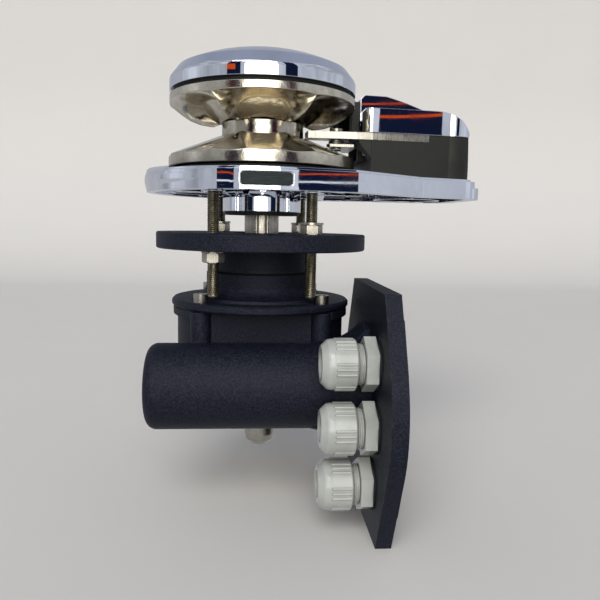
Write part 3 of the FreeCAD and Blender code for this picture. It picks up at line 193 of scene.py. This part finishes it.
class Shader:
    """A material with its principled shader, and short calls for the nodes that feed it.

    The colour and roughness given at the start are plain averages, for readers of the
    material that can't follow nodes.
    """

    def __init__(self, name, color, roughness, metallic=0.0):
        self.material = bpy.data.materials.new(name)
        self.material.use_nodes = True
        self.nodes = self.material.node_tree.nodes
        self.links = self.material.node_tree.links
        self.surface = self.nodes["Principled BSDF"]
        self.surface.inputs["Base Color"].default_value = (*color, 1.0)
        self.surface.inputs["Roughness"].default_value = roughness
        self.surface.inputs["Metallic"].default_value = metallic
        self.place = self.nodes.new("ShaderNodeTexCoord").outputs["Object"]

    def link(self, value, socket):
        """Feeds a socket from another node's output, or sets it to a plain value."""
        if isinstance(value, bpy.types.NodeSocket):
            self.links.new(value, socket)
        else:
            socket.default_value = value

    def stretched(self, x, y, z):
        """Object coordinates with each axis scaled, so that a pattern runs along one of them."""
        node = self.nodes.new("ShaderNodeMapping")
        node.inputs["Scale"].default_value = (x, y, z)
        self.links.new(self.place, node.inputs["Vector"])
        return node.outputs["Vector"]

    def noise(self, scale, detail=3.0, roughness=0.55, at=None, distortion=0.0):
        node = self.nodes.new("ShaderNodeTexNoise")
        node.inputs["Scale"].default_value = scale
        node.inputs["Detail"].default_value = detail
        node.inputs["Roughness"].default_value = roughness
        node.inputs["Distortion"].default_value = distortion
        self.links.new(at or self.place, node.inputs["Vector"])
        return node.outputs["Fac"]

    def ranged(self, value, low, high, new_low, new_high):
        """Maps a value from one range to another, and keeps it inside."""
        node = self.nodes.new("ShaderNodeMapRange")
        self.link(value, node.inputs["Value"])
        node.inputs["From Min"].default_value = low
        node.inputs["From Max"].default_value = high
        node.inputs["To Min"].default_value = new_low
        node.inputs["To Max"].default_value = new_high
        return node.outputs["Result"]

    def math(self, operation, first, second):
        node = self.nodes.new("ShaderNodeMath")
        node.operation = operation
        self.link(first, node.inputs[0])
        self.link(second, node.inputs[1])
        return node.outputs["Value"]

    def mixed(self, factor, first, second):
        """Colour between two colours, each a plain colour or a node's output."""
        node = self.nodes.new("ShaderNodeMix")
        node.data_type = "RGBA"
        self.link(factor, node.inputs["Factor"])
        for value, socket in ((first, node.inputs["A"]), (second, node.inputs["B"])):
            self.link(value if isinstance(value, bpy.types.NodeSocket) else (*value, 1.0), socket)
        return node.outputs["Result"]

    def blend(self, pattern, first, second, low=0.35, high=0.7):
        """Colour that turns from the first to the second where a pattern rises from low to high."""
        return self.mixed(self.ranged(pattern, low, high, 0, 1), first, second)

    def bevel(self, radius):
        """Normal that is rounded over edges within a radius."""
        node = self.nodes.new("ShaderNodeBevel")
        node.samples = BEVEL_SAMPLES
        node.inputs["Radius"].default_value = radius
        return node.outputs["Normal"]

    def edges(self, radius):
        """1 on edges within a radius, 0 on open faces."""
        dot = self.nodes.new("ShaderNodeVectorMath")
        dot.operation = "DOT_PRODUCT"
        self.links.new(self.bevel(radius), dot.inputs[0])
        geometry = self.nodes.new("ShaderNodeNewGeometry")
        self.links.new(geometry.outputs["True Normal"], dot.inputs[1])
        return self.ranged(dot.outputs["Value"], 0.99, 0.80, 0.0, 1.0)

    def hollow_shade(self, distance):
        """Mask for painted shade: 1 in tight corners, 0 on open faces, found by ambient occlusion.
        """
        node = self.nodes.new("ShaderNodeAmbientOcclusion")
        node.inputs["Distance"].default_value = distance
        node.samples = HOLLOW_SAMPLES
        return self.ranged(node.outputs["AO"], 0.25, 0.95, 1.0, 0.0)

    def relief(self, *layers, soften=0.0):
        """Stacks bumps, each a height and its depth in metres, over softened edges."""
        normal = self.bevel(soften) if soften else None
        for height, depth in layers:
            node = self.nodes.new("ShaderNodeBump")
            node.inputs["Distance"].default_value = depth
            self.links.new(height, node.inputs["Height"])
            if normal:
                self.links.new(normal, node.inputs["Normal"])
            normal = node.outputs["Normal"]
        self.links.new(normal, self.surface.inputs["Normal"])

    def use(self, **sockets):
        """Links or sets sockets of the principled shader by name, with _ for a space."""
        for name, value in sockets.items():
            self.link(value, self.surface.inputs[name.replace("_", " ")])

    def roughen(self, pattern, smooth, rough, low=0.3, high=0.7):
        """Roughness that rises from smooth to rough where a pattern rises from low to high."""
        self.use(Roughness=self.ranged(pattern, low, high, smooth, rough))


# --- materials ------------------------------------------------------------------------------


def chrome():
    s = Shader("chrome", (0.80, 0.82, 0.88), 0.04, 1.0)
    smears = s.noise(38, 4, 0.6, distortion=0.6)
    scratches = s.noise(1, 2, 0.5, at=s.stretched(220, 220, 2600))
    haze = s.ranged(smears, 0.42, 0.72, 0.012, 0.045)
    hairlines = s.ranged(scratches, 0.62, 0.74, 0.0, 0.05)
    s.use(Roughness=s.math("ADD", haze, hairlines))
    s.use(Base_Color=s.blend(smears, (0.82, 0.84, 0.90), (0.70, 0.73, 0.79), 0.4, 0.75))
    s.relief((s.noise(22, 1), 0.012 * MM), soften=0.8 * MM)
    return s.material


def nickel():
    s = Shader("nickel", (0.72, 0.66, 0.54), 0.2, 1.0)
    cast = s.noise(170, 5, 0.62)
    ripples = s.noise(70, 2, 0.5)
    unshaded = s.blend(cast, (0.70, 0.65, 0.54), (0.56, 0.51, 0.40))
    # Painted shade: dark brown mixed in where occlusion finds tight hollows round the pockets.
    s.use(Base_Color=s.mixed(s.hollow_shade(14 * MM), unshaded, (0.07, 0.05, 0.03)))
    s.roughen(cast, 0.07, 0.20)
    s.relief((ripples, 0.30 * MM), (cast, 0.16 * MM), soften=0.5 * MM)
    return s.material


def stainless():
    s = Shader("stainless", (0.40, 0.37, 0.32), 0.28, 1.0)
    grain = s.noise(1, 3, 0.6, at=s.stretched(2600, 160, 160))
    unshaded = s.blend(s.noise(90, 3), (0.46, 0.43, 0.37), (0.32, 0.30, 0.25))
    # Painted shade: dark grey mixed into corners that occlusion finds.
    s.use(Base_Color=s.mixed(s.hollow_shade(6 * MM), unshaded, (0.12, 0.11, 0.09)))
    s.roughen(grain, 0.18, 0.40)
    s.relief((grain, 0.03 * MM), soften=0.25 * MM)
    return s.material


def zinc_steel():
    s = Shader("zinc_steel", (0.50, 0.45, 0.36), 0.3, 1.0)
    stain = s.noise(240, 4)
    unshaded = s.blend(stain, (0.44, 0.40, 0.31), (0.24, 0.21, 0.14))
    # Painted shade: near black mixed into the thread roots and tight corners that occlusion finds.
    s.use(Base_Color=s.mixed(s.hollow_shade(0.8 * MM), unshaded, (0.06, 0.05, 0.03)))
    s.roughen(stain, 0.22, 0.42)
    s.relief((s.noise(2600, 2), 0.01 * MM))
    return s.material


def powder_coat():
    s = Shader("powder_coat", (0.012, 0.014, 0.021), 0.6)
    grains = s.noise(950, 3, 0.7)
    lumps = s.noise(330, 2)
    worn = s.math("MULTIPLY", s.edges(0.8 * MM), s.ranged(s.noise(160, 4), 0.45, 0.65, 0, 1))
    speckled = s.blend(grains, (0.002, 0.0026, 0.0065), (0.015, 0.018, 0.034), 0.42, 0.66)
    s.use(Base_Color=s.mixed(worn, speckled, (0.05, 0.06, 0.08)), Specular_IOR_Level=0.18)
    s.roughen(grains, 0.42, 0.66)
    s.relief((lumps, 0.10 * MM), (grains, 0.30 * MM), soften=0.5 * MM)
    return s.material


def black_plastic():
    s = Shader("black_plastic", (0.026, 0.027, 0.022), 0.55)
    grain = s.noise(2600, 2, 0.6)
    flow = s.noise(22, 4, 0.6, distortion=0.8)
    s.use(Base_Color=s.blend(flow, (0.021, 0.0215, 0.018), (0.015, 0.016, 0.013)))
    s.use(Specular_IOR_Level=0.20)
    s.roughen(flow, 0.46, 0.62, 0.35)
    s.relief((grain, 0.03 * MM), (flow, 0.12 * MM), soften=0.5 * MM)
    return s.material


def grey_plastic():
    s = Shader("grey_plastic", (0.50, 0.51, 0.48), 0.2)
    flow = s.noise(60, 3, 0.5, distortion=0.5)
    dust = s.noise(700, 4, 0.7)
    unshaded = s.blend(flow, (0.42, 0.43, 0.40), (0.34, 0.35, 0.32))
    # Painted shade: dark grey mixed into the roots of the ribs and threads and other tight corners
    # that occlusion finds.
    s.use(Base_Color=s.mixed(s.hollow_shade(1.6 * MM), unshaded, (0.10, 0.105, 0.095)))
    s.use(Subsurface_Weight=0.05, Subsurface_Radius=(0.9, 0.95, 0.9), Subsurface_Scale=0.5 * MM)
    s.roughen(dust, 0.12, 0.26, 0.35)
    s.relief((flow, 0.05 * MM), (dust, 0.006 * MM), soften=0.12 * MM)
    return s.material


def rubber():
    s = Shader("rubber", (0.008, 0.008, 0.008), 0.6)
    bloom = s.noise(500, 3)
    s.use(Base_Color=s.blend(bloom, (0.006, 0.006, 0.006), (0.020, 0.020, 0.020), 0.4))
    s.use(Specular_IOR_Level=0.25)
    s.roughen(bloom, 0.45, 0.75)
    s.relief((bloom, 0.02 * MM), soften=0.3 * MM)
    return s.material


def label():
    s = Shader("label", (0.04, 0.05, 0.05), 0.45)
    scuff = s.noise(1, 3, 0.6, at=s.stretched(150, 150, 1800))
    s.use(Base_Color=s.blend(scuff, (0.022, 0.028, 0.028), (0.045, 0.053, 0.053), 0.5, 0.75))
    s.use(Specular_IOR_Level=0.08)
    s.roughen(scuff, 0.5, 0.7)
    s.relief((scuff, 0.01 * MM), soften=0.2 * MM)
    return s.material


def machined(name, bright, dark, roughness, scale=500):
    """Turned or ground metal with fine tool marks and a slightly uneven colour."""
    s = Shader(name, bright, roughness, 1.0)
    marks = s.noise(1, 2, 0.5, at=s.stretched(scale, scale, scale * 5))
    s.use(Base_Color=s.blend(s.noise(120, 4), bright, dark))
    s.roughen(marks, roughness - 0.08, roughness + 0.10)
    s.relief((marks, 0.02 * MM), soften=0.3 * MM)
    return s.material


def iron():
    s = Shader("iron", (0.10, 0.10, 0.105), 0.5, 0.8)
    sheets = s.noise(1, 1, at=s.stretched(2000, 30, 30))
    s.use(Base_Color=s.blend(sheets, (0.06, 0.06, 0.065), (0.15, 0.15, 0.155), 0.4, 0.6))
    s.relief((sheets, 0.05 * MM))
    return s.material


def ferrite():
    s = Shader("ferrite", (0.06, 0.06, 0.065), 0.6)
    grain = s.noise(900, 4)
    s.use(Base_Color=s.mixed(grain, (0.04, 0.04, 0.045), (0.085, 0.085, 0.09)))
    s.roughen(grain, 0.5, 0.75)
    s.relief((grain, 0.04 * MM), soften=0.3 * MM)
    return s.material


MATERIALS = {
    "chrome": chrome(),
    "nickel": nickel(),
    "stainless": stainless(),
    "zinc_steel": zinc_steel(),
    "powder_coat": powder_coat(),
    "black_plastic": black_plastic(),
    "grey_plastic": grey_plastic(),
    "rubber": rubber(),
    "label": label(),
    "bronze": machined("bronze", (0.60, 0.40, 0.18), (0.44, 0.27, 0.11), 0.3),
    "steel": machined("steel", (0.36, 0.36, 0.36), (0.24, 0.24, 0.24), 0.32),
    "copper": machined("copper", (0.70, 0.33, 0.19), (0.48, 0.22, 0.13), 0.28),
    "iron": iron(),
    "ferrite": ferrite(),
}


def paint_cad_nodes():
    """Gives each CAD node the material of its slot in the record."""
    for part in frame["record"]["subparts"]:
        materials = frame["nodes"][part["node"]].data.materials
        materials.clear()
        materials.append(MATERIALS[part["material_slot"]])


# --- gypsy ----------------------------------------------------------------------------------


def between(value, points):
    """Value of a line through (position, value) points at one position."""
    for (start, low), (end, high) in zip(points, points[1:]):
        if value <= end:
            return low + (high - low) * max(0.0, value - start) / (end - start)
    return points[-1][1]


def softer(low, high, blend):
    """The lower of two heights, with a rounded corner between them."""
    gap = max(0.0, blend - abs(low - high)) / blend
    return min(low, high) - gap * gap * blend / 4


def upper_underside(distance, offset, reach):
    """Underside of the upper flange: an arch between two ridges, up to the pocket's end wall.

    The point is given by its distance along the pocket's middle, its offset from there and
    its reach from the axis.
    """
    ridge = between(reach, UPPER_RIDGE)
    across = min(1.0, abs(offset) / (distance * POCKET_SPREAD))
    arch = ridge + (POCKET_ROOF - ridge) * (1 - across**ARCH_FULLNESS) ** ARCH_STEEPNESS
    end = WAIST_TOP + (distance - POCKET_END) * POCKET_END_SLOPE
    return max(softer(arch, end, POCKET_CORNER), min(ridge, WAIST_TOP))


def lower_topside(distance, offset, reach):
    """Top of the lower flange: a flat that narrows to the rim, a scoop on each side and ridges."""
    ridge = between(reach, LOWER_RIDGE)
    flat = LOWER_FLAT_START - (distance - LOWER_RIDGE[1][0]) * LOWER_FLAT_SLOPE
    half_flat = between(distance, LOWER_FLAT_WIDTH)
    half_room = distance * POCKET_SPREAD
    beside = (abs(offset) - half_flat) / max(NARROWEST_SCOOP, half_room - half_flat)
    if beside <= 0:
        return flat
    scoop = LOWER_SCOOP_DEPTH * math.sin(math.pi * min(1.0, beside)) ** LOWER_SCOOP_FULLNESS
    return flat + (ridge - flat) * beside**2 - scoop


def lower_half_section(turn):
    """Rim and top of the lower flange, from the lower cone's mouth to the waist."""

    def height(reach):
        return lower_topside(reach * math.cos(turn), reach * math.sin(turn), reach)

    rim = GYPSY_LOW_RADIUS
    section = [(CONE_MOUTH_RADIUS, GYPSY_FOOT), (rim - RIM_CHAMFER, GYPSY_FOOT)]
    section += [(rim, GYPSY_FOOT + RIM_CHAMFER), (rim, height(rim) - RIM_CHAMFER)]
    outer = rim - CORNER_STEP
    for step in range(LOWER_STEPS + 1):
        reach = outer - (outer - WAIST_RADIUS - WAIST_GAP) * step / LOWER_STEPS
        section.append((reach, min(height(reach), WAIST_BOTTOM)))
    section.append((WAIST_RADIUS, WAIST_BOTTOM + CORNER_STEP))
    return section


def upper_half_section(turn):
    """Underside and rim of the upper flange, from the waist to the upper cone's mouth."""

    def height(reach):
        return upper_underside(reach * math.cos(turn), reach * math.sin(turn), reach)

    rim = GYPSY_RADIUS
    section = [(WAIST_RADIUS, WAIST_TOP - CORNER_STEP)]
    for step in range(UPPER_STEPS + 1):
        reach = NECK_RADIUS + (rim - CORNER_STEP - NECK_RADIUS) * step / UPPER_STEPS
        floor = WAIST_TOP if reach < WAIST_RADIUS else 0.0
        section.append((reach, max(height(reach), floor)))
    section += [(rim, height(rim) + CORNER_STEP), (rim, GYPSY_TOP - TOP_CHAMFER)]
    section += [(rim - RIM_CHAMFER, GYPSY_TOP), (CONE_MOUTH_RADIUS, GYPSY_TOP)]
    return section


def gypsy_section(azimuth):
    """Half section at one azimuth, as (distance from the axis, height), from the lower cone up."""
    half = POCKET_PITCH / 2
    nearest_pocket = round((azimuth - half) / POCKET_PITCH) * POCKET_PITCH + half
    turn = math.radians(azimuth - nearest_pocket)
    inside = [
        (CONE_END_RADIUS, UPPER_CONE_END),
        (BORE_RADIUS, UPPER_CONE_END),
        (BORE_RADIUS, LOWER_CONE_END),
        (CONE_END_RADIUS, LOWER_CONE_END),
    ]
    return lower_half_section(turn) + upper_half_section(turn) + inside


def cast_gypsy():
    """The chain wheel with its pockets, as one ring of sections, in place of the CAD node."""
    mesh = bmesh.new()
    rings = []
    for column in range(GYPSY_COLUMNS):
        azimuth = 360 * column / GYPSY_COLUMNS
        turn = math.radians(azimuth)
        ring = []
        for reach, height in gypsy_section(azimuth):
            point = Vector((reach * math.cos(turn), reach * math.sin(turn), height)) * MM
            ring.append(mesh.verts.new(point))
        rings.append(ring)
    for ring, after in zip(rings, rings[1:] + rings[:1]):
        for index in range(len(ring)):
            following = (index + 1) % len(ring)
            face = mesh.faces.new((ring[index], after[index], after[following], ring[following]))
            face.smooth = True
    bmesh.ops.recalc_face_normals(mesh, faces=mesh.faces)
    data = bpy.data.meshes.new("cast_gypsy")
    mesh.to_mesh(data)
    mesh.free()
    data.set_sharp_from_angle(angle=math.radians(GYPSY_SHARP_FROM))
    data.materials.append(MATERIALS["nickel"])
    gypsy = add_object("cast_gypsy", data)
    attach(gypsy, "gypsy_body")
    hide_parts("gypsy")


# --- threads --------------------------------------------------------------------------------


def thread_loop(height, length, radius, depth, pitch):
    """Points of a threaded rod at one height, with the thread fading in and out at the ends."""
    fade = min(1.0, height / pitch, (length - height) / pitch)
    points = []
    for side in range(THREAD_SIDES):
        share = side / THREAD_SIDES
        phase = (height / pitch - share) % 1.0
        crest = abs(2 * phase - 1)
        reach = radius - depth * (1 - crest * fade)
        angle = 2 * math.pi * share
        points.append(Vector((reach * math.cos(angle), reach * math.sin(angle), height)))
    return points


def threaded_rod(name, radius, depth, pitch, length, places, body, slot_name):
    """Closed rod along +Z with a helical thread, put in place once for each matrix."""
    rings = int(length / pitch * RINGS_PER_TURN)
    mesh = bmesh.new()
    for place in places:
        loops = []
        for ring in range(rings + 1):
            points = thread_loop(length * ring / rings, length, radius, depth, pitch)
            loops.append([mesh.verts.new(place @ point) for point in points])
        for low, high in zip(loops, loops[1:]):
            for side in range(THREAD_SIDES):
                after = (side + 1) % THREAD_SIDES
                mesh.faces.new((low[side], low[after], high[after], high[side]))
        mesh.faces.new(list(reversed(loops[0])))
        mesh.faces.new(loops[-1])
    data = bpy.data.meshes.new(name)
    mesh.to_mesh(data)
    mesh.free()
    data.materials.append(MATERIALS[slot_name])
    thing = add_object(name, data)
    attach(thing, body)
    return thing


def stud_threads():
    """The four deck studs with their threads, in place of the plain CAD rods."""
    low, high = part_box("deck_studs")
    places = []
    for x in (low.x + STUD_RADIUS, high.x - STUD_RADIUS):
        for y in (low.y + STUD_RADIUS, high.y - STUD_RADIUS):
            places.append(Matrix.Translation((x, y, low.z)))
    studs = threaded_rod(
        "threaded_studs",
        STUD_RADIUS,
        STUD_THREAD_DEPTH,
        STUD_PITCH,
        high.z - low.z,
        places,
        "housing",
        "zinc_steel",
    )
    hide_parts("deck_studs")


def gland_threads():
    """Thread that shows between the clamp nut and the hexagon of each gland."""
    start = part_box("gland_nuts")[1].x + GLAND_THREAD_GAP
    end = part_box("gland_washers")[0].x - GLAND_HEXAGON_LENGTH
    turn = Matrix.Rotation(math.radians(90), 4, "Y")
    places = [Matrix.Translation((start, y * MM, z * MM)) @ turn for y, z in GLAND_PLACES]
    threaded_rod(
        "gland_threads",
        GLAND_THREAD_RADIUS,
        GLAND_THREAD_DEPTH,
        GLAND_PITCH,
        end - start,
        places,
        "housing",
        "grey_plastic",
    )


# --- stage, light and camera ----------------------------------------------------------------


def backdrop():
    """Pale floor that curves up into a wall far behind the object."""
    floor = cad_low.z
    profile = [Vector((FLOOR_NEAR, floor)), Vector((FLOOR_FAR, floor))]
    for step in range(1, BEND_STEPS + 1):
        turn = math.radians(90 * step / BEND_STEPS)
        forward, up = BEND_RADIUS * math.sin(turn), BEND_RADIUS * (1 - math.cos(turn))
        profile.append(Vector((FLOOR_FAR + forward, floor + up)))
    profile.append(Vector((FLOOR_FAR + BEND_RADIUS, floor + WALL_HEIGHT)))
    mesh = bpy.data.meshes.new("backdrop")
    vertices = [(x, p.x, p.y) for p in profile for x in (-HALF_WIDTH, HALF_WIDTH)]
    faces = [(2 * i, 2 * i + 1, 2 * i + 3, 2 * i + 2) for i in range(len(profile) - 1)]
    mesh.from_pydata(vertices, [], faces)
    for face in mesh.polygons:
        face.use_smooth = True
    sheet = add_object("backdrop", mesh)
    s = Shader("backdrop", (0.62, 0.605, 0.575), 0.8)
    s.use(Base_Color=s.mixed(s.noise(3.0, 4), (0.635, 0.62, 0.59), (0.605, 0.59, 0.56)))
    s.use(Specular_IOR_Level=0.1)
    sheet.data.materials.append(s.material)
    sheet.visible_glossy = False


def card(name, azimuths, elevations, color, strength, distance=CARD_DISTANCE, mottled=False):
    """Part of a large cylinder in front of the object that only shows in reflections."""
    vertices = []
    for column in range(CARD_COLUMNS + 1):
        share = column / CARD_COLUMNS
        azimuth = math.radians(azimuths[0] + (azimuths[1] - azimuths[0]) * share)
        for elevation in elevations:
            height = distance * math.tan(math.radians(elevation))
            vertices.append((distance * math.sin(azimuth), -distance * math.cos(azimuth), height))
    faces = [(2 * c, 2 * c + 1, 2 * c + 3, 2 * c + 2) for c in range(CARD_COLUMNS)]
    mesh = bpy.data.meshes.new(name)
    mesh.from_pydata(vertices, [], faces)
    sheet = add_object(name, mesh)
    s = Shader(name, (0.0, 0.0, 0.0), 1.0)
    s.use(Emission_Color=(*color, 1.0), Emission_Strength=strength, Specular_IOR_Level=0.0)
    if mottled:
        glow = s.ranged(s.noise(1.6, 2), 0.35, 0.65, 0.6 * strength, 1.25 * strength)
        s.use(Emission_Strength=glow)
    mesh.materials.append(s.material)
    sheet.visible_camera = False
    sheet.visible_diffuse = False
    sheet.visible_shadow = False


def reflections():
    """What the chrome mirrors: a bright window between two dark flags with thin coloured strips."""
    card("window", WINDOW, WINDOW_HEIGHT, (1.0, 0.98, 0.94), 4.0)
    for number, azimuths in enumerate(ROOM):
        card(f"room_{number}", azimuths, ROOM_HEIGHT, (0.66, 0.69, 0.76), 0.80, mottled=True)
    for side, azimuths in (("left", LEFT_FLAG), ("right", RIGHT_FLAG)):
        card(f"flag_{side}", azimuths, FLAG_HEIGHT, (0.006, 0.010, 0.030), 1.0)
    for number, (azimuths, elevations) in enumerate(ORANGE_STRIPS):
        card(f"orange_{number}", azimuths, elevations, (0.80, 0.10, 0.02), 0.75, STRIP_DISTANCE)
    for number, (azimuths, elevations) in enumerate(WHITE_STRIPS):
        card(f"white_{number}", azimuths, elevations, (0.95, 0.97, 1.0), 0.85, STRIP_DISTANCE)


def daylight():
    """World light that is pale at the horizon and below, and bluish higher up."""
    world = bpy.data.worlds.new("daylight")
    world.use_nodes = True
    nodes, links = world.node_tree.nodes, world.node_tree.links
    direction = nodes.new("ShaderNodeSeparateXYZ")
    links.new(nodes.new("ShaderNodeTexCoord").outputs["Generated"], direction.inputs[0])
    sky = nodes.new("ShaderNodeValToRGB")
    sky.color_ramp.interpolation = "B_SPLINE"
    stops = ((0.0, SKY_LOW), (SKY_HIGH_FROM, SKY_HIGH))
    for element, (position, color) in zip(sky.color_ramp.elements, stops):
        element.position = position
        element.color = (*color, 1.0)
    links.new(direction.outputs["Z"], sky.inputs["Fac"])
    links.new(sky.outputs["Color"], nodes["Background"].inputs["Color"])
    nodes["Background"].inputs["Strength"].default_value = SKY_STRENGTH
    bpy.context.scene.world = world


def sun():
    """Broad soft sun from the front that mirrors don't show."""
    data = bpy.data.lights.new("sun", "SUN")
    data.energy = SUN_STRENGTH
    data.angle = math.radians(SUN_WIDTH)
    data.color = (1.0, 0.98, 0.94)
    light = add_object("sun", data)
    light.rotation_mode = "QUATERNION"
    light.rotation_quaternion = Vector(SUN_TOWARD).to_track_quat("-Z", "Y")
    light.visible_glossy = False


def key_lamp():
    """Large lamp from the upper left that gives the plastic and the rims their highlights."""
    at, target = Vector((-0.5, -1.5, 1.6)), Vector((0, 0, -0.05))
    data = bpy.data.lights.new("key", "AREA")
    data.shape = "RECTANGLE"
    data.size = 1.4
    data.size_y = 0.9
    data.energy = 9
    light = add_object("key", data)
    light.location = at
    light.rotation_mode = "QUATERNION"
    light.rotation_quaternion = (target - at).to_track_quat("-Z", "Y")


def camera():
    data = bpy.data.cameras.new("camera")
    data.lens = LENS_MM
    data.sensor_width = SENSOR_MM
    data.clip_start, data.clip_end = CAMERA_REACH
    eye = add_object("camera", data)
    turn = Matrix.Rotation(math.radians(CAMERA_YAW), 3, "Z")
    tilt = Matrix.Rotation(math.radians(90 + CAMERA_PITCH), 3, "X")
    roll = Matrix.Rotation(math.radians(CAMERA_ROLL), 3, "Z")
    eye.rotation_mode = "QUATERNION"
    eye.rotation_quaternion = (turn @ tilt @ roll).to_quaternion()
    eye.location = CAMERA_AT
    bpy.context.scene.camera = eye


paint_cad_nodes()
cast_gypsy()
stud_threads()
gland_threads()
backdrop()
daylight()
sun()
reflections()
key_lamp()
camera()
bpy.context.scene.view_settings.view_transform = "Standard"

bpy.context.view_layer.update()
